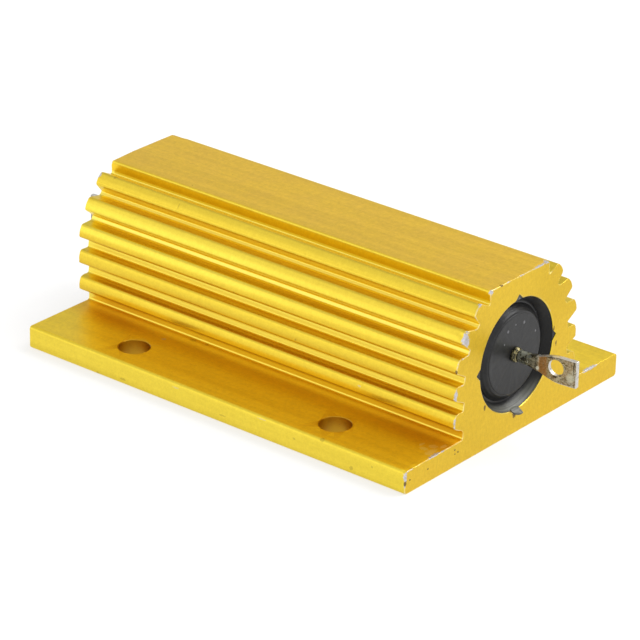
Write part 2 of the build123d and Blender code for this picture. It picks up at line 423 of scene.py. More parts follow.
def make_housing():
    outer, bore = node_loops(NODES["housing"])
    outer = divide_fins(round_feet(refine_arcs(round_tips(outer))))
    bore = refine_arcs(refine_arcs(bore, 2.0), 2.0)
    into = inward(outer)
    stations = [a for a, _ in END_STEPS]
    x, step = EDGE, 0.14
    while x + step < HALF_LENGTH - 0.5:
        x += step
        stations.append(x)
        step = min(step * 1.16, 3.0)
    insets = dict(END_STEPS)
    near = [(HALF_LENGTH - a, insets.get(a, 0.0)) for a in stations]
    rows = near + [(0.0, 0.0)] + [(-x, i) for x, i in reversed(near)]
    bm = bmesh.new()
    # The edge layer marks worn edges; recess and the fin shade carry painted shade, the notch highlight a painted
    # highlight
    worn, recess, notch_highlight, fin_shade = (bm.verts.layers.float.new(name) for name in ("edge", "recess", "notch_highlight", "fin_shade"))
    hidden = hollowness(outer)
    notch_highlights = [float(any(a < abs(y) < b and c < z < d for a, b, c, d in NOTCH_HIGHLIGHTS)) for y, z in outer]
    fin_shades = [max(min(1.0, (a - z) / (a - b)) if abs(y) > 12.4 and b - 0.35 < z < a else 0.0 for a, b in FIN_SHADE_BANDS)
            for y, z in outer]
    rings = []
    for x, inset in rows:
        ring = []
        plain = [Vector((y + d.x * inset, z + d.y * inset)) for (y, z), d in zip(outer, into)]
        pressed = [p + d.normalized() * press(Vector((x, p.x, p.y))) for p, d in zip(plain, into)]
        for p, hide, light, under in zip(untangle(pressed, plain, outer), hidden, notch_highlights, fin_shades):
            v = bm.verts.new((x, p.x, p.y))
            v[worn] = 1.0 if abs(x) > HALF_LENGTH - EDGE * 1.01 else 0.0
            # How shut in this point is, which the gold's painted shade follows, less within a few millimetres of the
            # ends
            v[recess] = hide * min(1.0, 0.35 + (HALF_LENGTH - abs(x)) / 4)
            v[notch_highlight] = light
            v[fin_shade] = under
            ring.append(v)
        rings.append(ring)
    skin(bm, rings)
    # Bore wall, with its broken edges
    out_of = [-d for d in inward(bore)]
    walls = []
    for x, grow in ((1, BORE_EDGE), (1 - BORE_EDGE / HALF_LENGTH, 0.0),
                    (-1 + BORE_EDGE / HALF_LENGTH, 0.0), (-1, BORE_EDGE)):
        walls.append([bm.verts.new((x * HALF_LENGTH, y + d.x * grow, z + d.y * grow))
                      for (y, z), d in zip(bore, out_of)])
    for v in walls[0] + walls[-1]:
        v[worn] = 0.75
    for a, b in zip(walls, walls[1:]):
        bridge(bm, b, a)
    # End faces, with a narrow ring inside the edge so that wear stays at the edge
    for ring, wall, side in ((rings[0], walls[0], 1), (rings[-1], walls[-1], -1)):
        edge = [Vector((v.co.y, v.co.z)) for v in ring]
        moved = untangle([p + d * RING for p, d in zip(edge, into)], edge, outer)
        band = [bm.verts.new((side * HALF_LENGTH, p.x, p.y)) for p in moved]
        rim = [bm.verts.new(v.co + Vector((0, d.x, d.y)) * 0.06) for v, d in zip(wall, out_of)]
        bridge(bm, ring, band)
        bridge(bm, wall, rim)
        loops = []
        for loop in (band, rim):
            for k in range(len(loop)):
                a, b = loop[k], loop[(k + 1) % len(loop)]
                loops.append(bm.edges.get((a, b)) or bm.edges.new((a, b)))
        bmesh.ops.triangle_fill(bm, use_beauty=True, use_dissolve=False, edges=loops, normal=(side, 0, 0))
    obj = new_object("housing_shell", bm)
    # The four holes, each with a slightly broken edge
    burr = 0.06
    profile = [(-1.0, HOLE_R), (FLANGE_TOP - burr, HOLE_R), (FLANGE_TOP - 0.02, HOLE_R + burr - 0.02),
               (FLANGE_TOP, HOLE_R + burr), (FLANGE_TOP + 0.6, HOLE_R + burr + 0.1)]
    cut(obj, [lathe_cutter(profile, (sx * HOLE_X, sy * HOLE_Y, 0), (0, 0, 1)) for sx in (-1, 1) for sy in (-1, 1)])
    resharpen(obj)
    count = len(obj.data.vertices)
    places = np.zeros(count * 3, dtype=np.float32)
    obj.data.vertices.foreach_get("co", places)
    places = np.abs(places.reshape(-1, 3)) / MM
    from_hole = np.hypot(places[:, 0] - HOLE_X, places[:, 1] - HOLE_Y)
    for name, keep in (("edge", from_hole > 5.0), ("recess", from_hole > HOLE_R + 0.03)):
        values = np.zeros(count, dtype=np.float32)
        marks = obj.data.attributes[name]
        marks.data.foreach_get("value", values)
        marks.data.foreach_set("value", np.where(keep, values, 0.0).astype(np.float32))
    weighted(obj)
    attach(obj, "root")
    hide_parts("housing")
    return obj


# Moulding
def keyed_radius(bore, angle):
    """The bore's radius in a direction, keyways included."""
    best = BORE_R
    d = Vector((math.cos(angle), math.sin(angle)))
    for p, q in zip(bore, bore[1:] + bore[:1]):
        a = Vector((p[0], p[1] - AXIS_Z))
        b = Vector((q[0], q[1] - AXIS_Z))
        e = b - a
        den = d.x * e.y - d.y * e.x
        if abs(den) < 1e-9:
            continue
        t = (a.x * e.y - a.y * e.x) / den
        u = (a.x * d.y - a.y * d.x) / den
        if t > 0 and -1e-6 <= u <= 1 + 1e-6:
            best = t
    return best


def end_profile():
    """The moulding's end from the rim in to the pin, as (x, r) pairs, with the fine steps left by its mould."""
    rows = [(RIM_X, 7.86)]
    steps = 26
    for k in range(1, steps):
        u = k / steps
        r = 7.86 + (GROOVE_OUT - 7.86) * u
        x = RIM_X + (GROOVE_X + 0.04 - RIM_X) * u
        ripple = 0.0022 * math.sin(u * 2 * math.pi * 6.3) + 0.0016 * math.sin(u * 2 * math.pi * 11.1 + 1)
        rows.append((x + ripple * 0.5, r - ripple))
    for a in range(0, 100, 20):
        t = math.radians(a)
        rows.append((GROOVE_X + 0.1 - 0.1 * math.sin(t), GROOVE_OUT - 0.02 - 0.1 * (1 - math.cos(t))))
    for a in range(0, 100, 20):
        t = math.radians(a)
        rows.append((GROOVE_X + 0.1 - 0.1 * math.cos(t), GROOVE_IN + 0.1 - 0.1 * math.sin(t)))
    steps = 14
    for k in range(1, steps):
        u = k / steps
        r = GROOVE_IN + (PLATEAU_R + 0.14 - GROOVE_IN) * u + 0.012 * math.sin(u * 2 * math.pi * 2.6)
        rows.append((GROOVE_X + 0.1 + (PLATEAU_X - 0.16 - GROOVE_X) * u, r))
    for a in range(20, 91, 14):
        t = math.radians(a)
        rows.append((PLATEAU_X - 0.14 + 0.14 * math.sin(t), PLATEAU_R - 0.04 + 0.16 * math.cos(t) - 0.1))
    for r in (5.2, 5.0, 4.6, 4.0, 3.3, 2.6, 2.0, 1.6, 1.35, 1.15, 1.0, 0.9, 0.86):
        dip = 0.02 * math.exp(-((r - 4.8) / 0.25) ** 2)
        rows.append((PLATEAU_X - dip, r))
    return rows


def make_moulding():
    _, bore = node_loops(NODES["housing"])
    bore = refine_arcs(refine_arcs(bore, 2.0), 2.0)
    count = 240
    turns = sorted({round(2 * math.pi * k / count, 5) for k in range(count)}
                   | {round(math.atan2(p[1] - AXIS_Z, p[0]) % (2 * math.pi), 5) for p in bore})
    angles = turns[:1]
    for a in turns[1:]:
        if a - angles[-1] > 0.002:
            angles.append(a)
    rim = [keyed_radius(bore, a) - 0.02 for a in angles]
    bm = bmesh.new()

    def ring(x, radii, shake, side):
        verts = []
        for a, r in zip(angles, radii):
            w = noise.noise(Vector((math.cos(a) * r * 0.5, math.sin(a) * r * 0.5, x * 2 + side * 30)))
            w2 = noise.noise(Vector((math.cos(a) * r * 1.7, math.sin(a) * r * 1.7, x * 3 + side * 50)))
            dx = -side * shake * abs(0.7 * w + 0.5 * w2)
            verts.append(bm.verts.new((x + dx, r * math.cos(a), AXIS_Z + r * math.sin(a))))
        return verts

    # One end's rings, from the pin out to the rim and a little way in: (x, radii, unevenness)
    rows = [(x, [r] * len(angles), 0.035) for x, r in end_profile()[::-1]]
    rows += [(RIM_X, rim, 0.02), (RIM_X - 1.0, rim, 0.0)]
    rings = [ring(side * x, radii, shake, side) for side in (1, -1) for x, radii, shake in rows[::side]]
    skin(bm, rings)
    bm.faces.new(rings[0])
    bm.faces.new(rings[-1][::-1])
    obj = new_object("moulding_skin", bm, 40)
    weighted(obj)
    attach(obj, "root")
    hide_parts("moulding")
    return obj


# Along the tongue of flash: (x, from y, to y, top z, thickness)
TONGUE = [(31.6, -0.7, 0.7, 3.64, 0.18), (32.45, -0.7, 0.7, 3.63, 0.18), (32.64, -0.74, 0.78, 3.5, 0.24),
          (32.9, -0.64, 0.86, 3.34, 0.24), (33.12, -0.4, 0.88, 3.2, 0.22), (33.3, -0.02, 0.84, 3.08, 0.18),
          (33.42, 0.34, 0.7, 3.0, 0.1)]


def make_tongue():
    """Tongue of flash out of the lowest keyway at the near end."""
    bm = bmesh.new()
    sections = []
    around = [(u, 0) for u in (0, 0.25, 0.5, 0.75, 1)]
    around += [(u, 1) for u, _ in around[::-1]]
    for x, y0, y1, top, thick in TONGUE:
        verts = []
        for u, v in around:
            y = y0 + (y1 - y0) * u
            jag = 0.05 * noise.noise(Vector((x * 2.1, y * 3, v * 5))) if x > 32.5 else 0.0
            crown = 0.05 * (1 - (2 * u - 1) ** 2)
            verts.append(bm.verts.new((x + (jag if x < 33.3 else 0), y + jag, top - v * thick + crown + jag)))
        sections.append(verts)
    skin(bm, sections)
    bm.faces.new(sections[0][::-1])
    bm.faces.new(sections[-1])
    tongue = new_object("flash_tongue", bm, 50)
    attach(tongue, "root")
    return tongue


# Terminals
def section(half_t, bottom, top, corner, side_points=6):
    """A rounded rectangle's points (across, up), the same count whatever its size."""
    corner = min(corner, half_t, (top - bottom) / 2)
    points = []
    centres = ((half_t, top, 0), (-half_t, top, 90), (-half_t, bottom, 180), (half_t, bottom, 270))
    arcs = []
    for cx, cy, start in centres:
        ox = cx - math.copysign(corner, cx)
        oy = cy - (corner if cy == top else -corner)
        turns = [math.radians(start + a) for a in range(0, 91, 15)]
        arcs.append([(ox + corner * math.cos(t), oy + corner * math.sin(t)) for t in turns])
    for i, arc in enumerate(arcs):
        points += arc
        p, q = arc[-1], arcs[(i + 1) % 4][0]
        length = math.dist(p, q)
        near = min(0.06 / length, 0.15) if length > 1e-6 else 0.1
        for u in [near] + [k / side_points for k in range(1, side_points)] + [1 - near]:
            points.append(between(p, q, u))
    return points


def flare(u):
    u = min(1.0, max(0.0, u))
    return 1.72 * u - 0.72 * u * u


# The pin and the bead at its foot: (x, radius)
PIN_ROWS = [(26.7, 0.85), (32.1, 0.85), (32.16, 0.9), (32.2, 1.0), (32.28, 1.06), (32.42, 1.08), (32.56, 1.07),
            (32.7, 1.03), (32.8, 0.96), (32.86, 0.88), (32.9, 0.82), (32.96, 0.8), (33.04, 0.83), (33.2, 0.85),
            (33.5, 0.85), (33.8, 0.85), (34.1, 0.85), (34.4, 0.85), (34.6, 0.85)]


def make_terminal(name, side, node, seed):
    crease = Vector((CREASE_X, 0, AXIS_Z))
    along = Vector((math.cos(LUG_BEND), math.sin(LUG_BEND), 0))
    across = Vector((math.sin(LUG_BEND), -math.cos(LUG_BEND), 0))
    # Along the terminal: (centre, outward, half thickness, bottom, top, corner)
    stations = [(Vector((x, 0, AXIS_Z)), Vector((0, -1, 0)), r, -r, r, r) for x, r in PIN_ROWS]
    steps = 12
    for k in range(steps + 1):
        u = k / steps
        x = NECK_X + (CREASE_X - NECK_X) * u
        half_t = PIN_R + (LUG_HALF_T - PIN_R) * u
        half_h = PIN_R + (1.1 - PIN_R) * u
        corner = PIN_R + (0.1 - PIN_R) * min(1.0, u * 1.15) ** 0.8
        lean = LUG_BEND * u
        out = Vector((math.sin(lean), -math.cos(lean), 0))
        stations.append((Vector((x, 0, AXIS_Z)), out, half_t, -half_h, half_h, corner))
    s, pitch = 0.12, 0.22
    while s < LUG_LENGTH - 0.25:
        stations.append(lug_station(crease, along, across, s))
        s += pitch
    for back in (0.2, 0.12, 0.08, 0.05, 0.025):
        stations.append(lug_station(crease, along, across, LUG_LENGTH - back))
    bm = bmesh.new()
    bright = bm.verts.layers.float.new("edge")
    rings = []
    for centre, out, half_t, bottom, top, corner in stations:
        verts = []
        beyond = centre.x > 32.15
        for a, h in section(half_t, bottom, top, corner):
            co = centre + out * a + Vector((0, 0, h))
            if beyond:
                w = (0.022 * noise.noise(co * 1.3 + Vector((seed, 0, 0)))
                     + 0.012 * noise.noise(co * 4.0 + Vector((seed, 9, 0))))
                lump = 0.11 * noise.noise(co * 2.3 + Vector((seed, 3, 3))) if centre.x < 32.88 else 0.0
                rise = h * 0.35 if half_t < 0.84 else h
                co -= (out * a + Vector((0, 0, rise))).normalized() * (abs(w) + abs(lump))
            v = bm.verts.new(co)
            # Edges that take the tin's painted highlight
            if half_t < 0.5 and min(top - h, h - bottom) < 0.07 or centre.x > CREASE_X + LUG_LENGTH - 0.17:
                v[bright] = 1.0
            verts.append(v)
        rings.append(verts)
    skin(bm, rings)
    bm.faces.new(rings[0][::-1])
    last = rings[-1]
    tip = []
    for v in last:
        inset = (crease + along * LUG_LENGTH + Vector((0, 0, (LUG_TOP + LUG_BOTTOM) / 2)) - v.co)
        inset -= along * inset.dot(along)
        away = v.co + along * 0.025 + Vector((inset.x, inset.y, 0)) * 0.12 + Vector((0, 0, inset.z)) * 0.02
        tip.append(bm.verts.new(away))
        tip[-1][bright] = 1.0
    bridge(bm, last, tip)
    bm.faces.new(tip)
    obj = new_object(name, bm, 38)
    eye = crease + along * EYE_AT[0] + Vector((0, 0, EYE_AT[1]))
    t = LUG_HALF_T
    punch = [(-t - 0.4, EYE_R + 0.42), (-t + 0.035, EYE_R), (t - 0.05, EYE_R), (t + 0.4, EYE_R + 0.42)]
    cut(obj, [lathe_cutter(punch, eye, across, 96)])
    resharpen(obj, 38)
    values = np.zeros(len(obj.data.vertices), dtype=np.float32)
    marks = obj.data.attributes["edge"]
    marks.data.foreach_get("value", values)
    for v in obj.data.vertices:
        away = v.co / MM - eye
        if (away - across * away.dot(across)).length < EYE_R + 0.03:
            values[v.index] = 1.0
    marks.data.foreach_set("value", values)
    if side < 0:
        obj.data.transform(Matrix.Rotation(math.pi, 4, "Z"))
    weighted(obj)
    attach(obj, "root")
    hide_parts(node)
    return obj


def lug_station(crease, along, across, s):
    top = 1.1 + (LUG_TOP - 1.1) * flare(s / 3.0)
    bottom = -1.1 + (LUG_BOTTOM + 1.1) * flare(s / 3.0)
    half_t = LUG_HALF_T
    left = LUG_LENGTH - s
    if left < 0.12:
        drop = 0.12 - math.sqrt(max(0.0, 0.12 ** 2 - (0.12 - left) ** 2))
        top -= drop
        bottom += drop
    if left < 0.08:
        half_t -= 0.08 - math.sqrt(max(0.0, 0.08 ** 2 - (0.08 - left) ** 2))
    return (crease + along * s, across, half_t, bottom, top, 0.09)


# Materials
class Nodes:
    """A node tree, with short ways to make what the looks here share."""

    def __init__(self, tree):
        self.tree = tree
        tree.nodes.clear()
        self.coords = self.node("TexCoord").outputs

    def node(self, kind, **inputs):
        n = self.tree.nodes.new("ShaderNode" + kind)
        for name, value in inputs.items():
            self.put(n.inputs[name.replace("_", " ")], value)
        return n

    def put(self, socket, value):
        if isinstance(value, bpy.types.NodeSocket):
            self.tree.links.new(value, socket)
        else:
            socket.default_value = value

    def math(self, kind, *values):
        n = self.node("Math")
        n.operation = kind
        for socket, value in zip(n.inputs, values):
            self.put(socket, value)
        return n.outputs[0]

    def times(self, a, *others):
        return self.math("MULTIPLY", a, others[0] if len(others) == 1 else self.times(*others))

    def plus(self, a, b):
        return self.math("ADD", a, b)

    def less(self, a, b):
        return self.math("SUBTRACT", a, b)

    def most(self, a, b):
        return self.math("MAXIMUM", a, b)

    def size(self, a):
        return self.math("ABSOLUTE", a)

    def line(self, a, slope, start):
        return self.math("MULTIPLY_ADD", a, slope, start)

    def step(self, value, low, high, to_low=0.0, to_high=1.0):
        """Goes smoothly from one level to the other while the value goes from low to high."""
        n = self.node("MapRange", Value=value, From_Min=low, From_Max=high, To_Min=to_low, To_Max=to_high)
        n.interpolation_type = "SMOOTHSTEP"
        return n.outputs["Result"]

    def mix(self, factor, a, b, kind="MIX"):
        n = self.node("Mix")
        n.data_type = "RGBA"
        n.blend_type = kind
        for name, value in (("Factor", factor), ("A", a), ("B", b)):
            self.put(n.inputs[name], value)
        return n.outputs["Result"]

    def tint(self, base, color, mask=None):
        """The base colour times another one, all over or by a mask."""
        tinted = self.mix(1.0, base, color, "MULTIPLY")
        return tinted if mask is None else self.mix(mask, base, tinted)

    def split(self, vector):
        return self.node("SeparateXYZ", Vector=vector).outputs


class Shader(Nodes):
    """A material whose patterns are laid out in millimetres of the object."""

    def __init__(self, name):
        self.material = bpy.data.materials.new(name)
        self.material.use_nodes = True
        super().__init__(self.material.node_tree)
        self.out = self.node("OutputMaterial")
        self.bsdf = self.node("BsdfPrincipled")
        self.put(self.out.inputs[0], self.bsdf.outputs[0])
        self.mm = self.scaled(1000, 1000, 1000)

    def scaled(self, *scale):
        return self.node("Mapping", Vector=self.coords["Object"], Scale=scale).outputs[0]

    def noise(self, scale, detail=2.0, rough=0.5, distortion=0.0, of=None):
        vector = self.mm if of is None else of
        n = self.node("TexNoise", Vector=vector, Scale=scale, Detail=detail, Roughness=rough, Distortion=distortion)
        return n.outputs["Fac"]

    def ragged(self, noise, amount):
        return self.times(self.less(noise, 0.5), amount)

    def cells(self, scale):
        """How far the nearest cell's middle is, and two numbers that belong to the cell."""
        found = self.node("TexVoronoi", Vector=self.mm, Scale=scale).outputs
        return found["Distance"], *self.split(found["Color"])[:2]

    def specks(self, scale, chosen, reach):
        """Round specks in some of the cells, each fading over its reach."""
        far, pick, _ = self.cells(scale)
        return self.times(self.step(pick, *chosen), self.step(far, *reach))

    def attribute(self, name):
        n = self.node("Attribute")
        n.attribute_name = name
        return n.outputs["Fac"]

    def spot(self, place, ragged):
        """1 at a place in millimetres, fading to 0 at its radii, with a ragged edge."""
        vector = self.mm
        for kind, value in (("SUBTRACT", place[:3]), ("DIVIDE", place[3:]), ("LENGTH", None)):
            n = self.node("VectorMath")
            n.operation = kind
            self.put(n.inputs[0], vector)
            if value:
                n.inputs[1].default_value = value
            vector = n.outputs[0]
        return self.step(self.plus(n.outputs["Value"], ragged), 1.12, 0.85)

    def spots(self, places, ragged):
        total = self.spot(places[0], ragged)
        for place in places[1:]:
            total = self.most(total, self.spot(place, ragged))
        return total

    def bump(self, height, strength, distance):
        return self.node("Bump", Strength=strength, Distance=distance, Height=height).outputs[0]

    def set(self, **values):
        names = {"color": "Base Color", "metal": "Metallic", "rough": "Roughness", "normal": "Normal",
                 "coat": "Coat Weight", "coat_rough": "Coat Roughness", "specular": "Specular IOR Level",
                 "tint": "Specular Tint"}
        for key, value in values.items():
            self.put(self.bsdf.inputs[names[key]], value)


def rgb(r, g, b):
    """A colour written as it looks, out of 255, in the values that a shader takes."""
    def linear(c):
        c /= 255
        return c / 12.92 if c <= 0.04045 else ((c + 0.055) / 1.055) ** 2.4
    return (linear(r), linear(g), linear(b), 1.0)


# Small marks: where each is and its radii, (x, y, z, rx, ry, rz)
E = HALF_LENGTH
P = PLATEAU_X
# Bare metal at the ends
BARE = [
    (E, -11.5, 18.0, 0.45, 0.75, 1.35), (E, -11.0, 17.0, 0.3, 0.5, 0.5), (E, -8.55, 21.5, 0.35, 0.5, 0.32),
    (E, -13.15, 14.9, 0.25, 0.3, 0.9), (E, -13.1, 10.1, 0.25, 0.42, 0.8), (E, -13.2, 6.6, 0.22, 0.3, 1.1),
    (E, -17.0, 3.3, 0.45, 1.1, 0.16), (E, 16.9, 3.25, 0.4, 1.6, 0.2), (E, -23.1, 2.6, 0.3, 0.35, 0.9),
    (E, 6.0, 22.6, 0.6, 0.7, 0.3), (E, 4.4, 22.6, 0.35, 1.0, 0.18), (E, -6.4, 22.4, 0.35, 0.5, 0.4),
    (-E, -9.0, 21.4, 0.3, 0.5, 0.5), (-E, 12.0, 17.0, 0.4, 0.6, 0.9), (-E, 23.1, 2.6, 0.4, 0.4, 0.8),
]
# Dark marks at the near end: pits, painted shade in the chips, and a painted shadow under the flash tongue
PITS_AND_SHADE = [
    (E, -0.1, 2.72, 0.3, 0.36, 0.44), (E, -4.05, 22.6, 0.3, 0.3, 0.2), (E, -13.45, 11.6, 0.35, 0.35, 0.32),
    (E, -13.1, 13.4, 0.25, 0.3, 0.45), (E, -23.1, 1.6, 0.25, 0.3, 0.35), (E, -12.78, 2.46, 0.3, 0.16, 0.14),
    (E, -12.12, 1.92, 0.3, 0.14, 0.13), (E, -12.75, 1.88, 0.3, 0.15, 0.13), (E, -18.38, 1.92, 0.3, 0.14, 0.13),
    (E, -22.07, 1.81, 0.3, 0.16, 0.14), (E, -6.7, 6.2, 0.4, 0.2, 0.42), (E, 7.98, 12.37, 0.3, 0.12, 0.42),
    (E, 8.61, 9.97, 0.3, 0.14, 0.4),
]
# Nicks in the sides
NICKS = [
    (-13.88, -9.0, 22.3, 0.3, 0.6, 0.35), (-29.96, -8.3, 21.6, 0.25, 0.6, 0.5), (-17.8, -9.2, 20.9, 0.07, 0.6, 0.4),
    (-12.95, -11.7, 3.3, 0.5, 0.35, 0.4), (-10.6, -11.6, 3.4, 0.3, 0.3, 0.4), (18.95, -22.95, 3.25, 0.35, 0.4, 0.3),
    (-15.36, -23.1, 0.81, 0.5, 0.4, 0.16), (23.9, -23.1, 0.93, 0.3, 0.4, 0.3), (-19.95, -23.1, 0.2, 0.3, 0.4, 0.3),
    (14.4, -23.1, 1.9, 0.2, 0.4, 0.14), (6.2, -13.2, 9.9, 0.16, 0.5, 0.16), (-4.6, -12.9, 13.4, 0.2, 0.5, 0.14),
    (11.9, -11.9, 17.0, 0.15, 0.5, 0.12), (21.0, -9.6, 20.3, 0.16, 0.5, 0.14), (2.2, -23.1, 1.2, 0.6, 0.4, 0.1),
    (27.3, -23.1, 2.2, 0.14, 0.4, 0.14), (13.0, 9.4, 20.4, 0.2, 0.5, 0.2), (-7.0, 12.8, 13.9, 0.3, 0.5, 0.16),
    (19.0, 23.1, 1.6, 0.4, 0.4, 0.16),
]
# Scratched, shining places
GLINTS = [
    (-20.78, -11.6, 19.0, 0.3, 0.7, 0.2), (-10.32, -11.6, 19.0, 0.3, 0.7, 0.2),
    (-1.1, -12.9, 15.6, 0.26, 0.7, 0.22), (-16.1, -14.07, 3.3, 0.35, 0.3, 0.4), (-6.0, -23.1, 2.6, 0.5, 0.4, 0.1),
    (9.0, -23.1, 2.9, 0.7, 0.4, 0.08), (17.0, -13.1, 6.6, 0.24, 0.5, 0.14), (-24.0, 12.2, 15.0, 0.4, 0.6, 0.2),
]
# A rubbed place at the flange's near corner
SMEARS = [
    (31.6, -16.6, 3.3, 0.5, 1.0, 0.4), (30.9, -15.2, 3.3, 0.6, 0.5, 0.4), (31.9, -14.3, 3.3, 0.3, 0.6, 0.4),
    (30.3, -16.4, 3.3, 0.6, 0.4, 0.4), (29.4, -15.6, 3.3, 0.24, 0.5, 0.4),
]
# Dust on the moulding's end
DUST = [
    (P, 1.85, 15.26, 0.4, 0.2, 0.22), (P, 0.0, 15.5, 0.4, 0.12, 0.12), (P, -1.64, 15.07, 0.4, 0.2, 0.2),
    (P, 4.41, 13.14, 0.4, 0.16, 0.16), (P, -2.35, 13.47, 0.4, 0.12, 0.12), (32.4, -7.61, 10.89, 0.4, 0.16, 0.2),
    (32.4, -6.79, 8.55, 0.4, 0.14, 0.2), (32.4, 0.13, 19.24, 0.4, 0.16, 0.2),
]
# Stains on the terminals, and after them the terminals' painted highlights
STAINS = [
    (38.7, 0.0, 10.2, 0.3, 0.6, 0.2), (39.4, 0.0, 10.55, 0.2, 0.6, 0.14), (41.45, 0.2, 12.3, 0.09, 0.5, 1.1),
    (37.9, 0.0, 12.75, 0.5, 0.6, 0.16), (33.1, 0.0, 11.3, 0.14, 1.2, 0.9), (34.2, -0.6, 11.5, 0.7, 0.6, 0.25),
    (-38.4, 0.0, 12.4, 0.3, 0.6, 0.25), (-40.6, 0.0, 10.2, 0.5, 0.6, 0.2),
]
TERMINAL_HIGHLIGHTS = [
    (36.15, -0.4, 10.75, 0.22, 0.8, 0.25), (33.9, -0.6, 12.1, 0.35, 0.8, 0.2), (41.0, 0.0, 10.6, 0.6, 0.6, 0.6),
    (34.9, -0.6, 12.0, 0.4, 0.6, 0.2),
]


def gold():
    s = Shader("gold_anodised")
    x, y, z = s.split(s.mm)
    normal_x, _, normal_z = s.split(s.coords["Normal"])
    length, out = s.size(x), s.size(y)
    turned = s.times(y, s.math("SIGN", x))
    ends = s.step(s.size(normal_x), 0.8, 0.95)
    sides = s.less(1.0, ends)
    high = s.step(z, 21.9, 22.3)
    low = s.step(z, 3.6, 3.4)
    # Drawn lines along the sides, saw grain across the ends, cloud and speckle all over
    long_lines = s.scaled(12, 1000, 1000)
    streak = s.noise(1.3, 3.0, 0.55, of=long_lines)
    hair = s.noise(7.0, 2.0, 0.5, of=long_lines)
    grain = s.noise(6.0, 3.0, 0.7)
    base = s.mix(s.noise(0.07), (0.85, 0.63, 0.04, 1), (0.82, 0.59, 0.028, 1))
    lines = s.mix(s.step(streak, 0.3, 0.7), (0.955, 0.95, 0.9, 1), (1.03, 1.035, 1.09, 1))
    base = s.tint(base, lines, sides)
    mottle = s.step(s.noise(1.5, 4.0, 0.65), 0.3, 0.72)
    base = s.tint(base, s.mix(mottle, (0.96, 0.95, 0.9, 1), (1.02, 1.025, 1.05, 1)))
    sawn = s.line(s.noise(7.0, 4.0, 0.75, of=s.scaled(1000, 1000, 130)), 0.6, s.times(s.noise(4.0, 3.0, 0.75), 0.4))
    cut_face = s.mix(s.step(sawn, 0.36, 0.64), (0.84, 0.75, 0.3, 1), (0.91, 0.85, 0.6, 1))
    base = s.tint(base, cut_face, ends)
    speckle = s.step(s.noise(3.2, 3.0, 0.75), 0.3, 0.7)
    base = s.tint(base, s.mix(speckle, (0.955, 0.95, 0.9, 1), (1.035, 1.035, 1.08, 1)))
    # Painted reflection: the faces that lie flat are tinted a redder gold, as the light and the fins they mirror
    # colour them, in soft cloudy patches of random tone
    flat = s.times(s.step(normal_z, 0.8, 0.95), s.most(high, low))
    cloud = s.step(s.noise(0.22, 4.0, 0.6), 0.35, 0.68)
    fleck = s.step(s.noise(1.1, 3.0, 0.6), 0.35, 0.65)
    painted_top_tone = s.mix(high, (1.17, 1.16, 0.74, 1), s.mix(cloud, (1.12, 1.0, 1.05, 1), (1.09, 0.96, 1.3, 1)))
    painted_top_tone = s.tint(painted_top_tone, s.mix(fleck, (0.97, 0.97, 0.94, 1), (1.02, 1.02, 1.06, 1)))
    base = s.tint(base, painted_top_tone, flat)
    # Painted shade: the flange is a deeper gold beside the fins, towards its ends
    root = s.times(s.step(length, 14.0, 27.0), s.step(out, 17.5, 12.0), low, sides)
    base = s.tint(base, (0.86, 0.7, 0.3, 1), root)
    # Painted shade: the gold is deeper in the notches, where the metal is shut in, but less so just above the flange
    open_foot = s.times(s.step(z, 3.6, 3.75), s.step(z, 5.6, 5.2))
    recess_shade = s.times(s.step(s.attribute("recess"), 0.36, 0.9), s.line(open_foot, -0.45, 0.6), sides)
    base = s.mix(recess_shade, base, (0.53, 0.24, 0.0, 1))
    # Painted shade, deeper down the three lower fins' faces, too
    base = s.tint(base, (0.87, 0.78, 0.42, 1), s.times(s.attribute("fin_shade"), sides))
    # Painted highlight: the second and third fins are lighter, the more so towards the far end
    lit = s.times(s.step(out, 10.9, 11.5), s.step(z, 13.6, 14.3), s.step(z, 18.9, 18.4), sides)
    painted_lift = s.mix(s.step(x, 14.0, -12.0), (1.01, 1.03, 1.2, 1), (1.06, 1.14, 1.6, 1))
    base = s.tint(base, painted_lift, lit)
    # Painted light: the flange's long edges are paler with a painted sheen, the upper part of the sawn ends is darker
    # and oranger in painted shade, and the land's side walls take the saturated orange of painted shade
    base = s.tint(base, (1.0, 1.04, 1.15, 1), s.times(s.step(out, 22.8, 23.0), sides))
    upper = s.times(s.step(z, 11.0, 17.0), s.step(turned, 0.0, 7.0), ends)
    base = s.tint(base, (0.93, 0.92, 0.55, 1), upper)
    wall = s.times(s.step(out, 6.75, 6.6), s.step(z, 20.9, 21.1), s.step(z, 22.3, 22.1), sides)
    base = s.tint(base, (1.15, 1.04, 0.4, 1), wall)
    # Painted highlight: a pale line along each notch's floor
    notch_highlight_mask = s.times(s.step(s.attribute("notch_highlight"), 0.15, 0.85), sides, 0.9)
    base = s.mix(notch_highlight_mask, base, s.mix(s.step(z, 13.0, 14.0), (0.9, 0.7, 0.07, 1), (0.97, 0.79, 0.12, 1)))
    # Painted shade: the drilled holes' walls are a darker orange
    along, across = s.less(length, HOLE_X), s.less(out, HOLE_Y)
    from_hole = s.math("SQRT", s.line(along, along, s.times(across, across)))
    hole_shade = s.times(s.step(from_hole, HOLE_R + 0.12, HOLE_R + 0.06), s.step(z, 3.8, 3.6))
    base = s.mix(hole_shade, base, s.mix(s.noise(0.6), (0.5, 0.26, 0.003, 1), (0.66, 0.37, 0.006, 1)))
    ragged = s.ragged(s.noise(3.6, 4.0, 0.75), 2.6)
    base = s.mix(s.times(s.spots(SMEARS, ragged), 0.65), base, rgb(252, 232, 140))
    # Small dark pits here and there, more of them on the sawn ends
    far, pick, other = s.cells(0.6)
    chosen = s.step(s.plus(pick, s.times(ends, 0.14)), 0.86, 0.9)
    pits = s.times(chosen, s.step(s.less(far, s.line(other, 0.04, 0.02)), 0.02, -0.01))
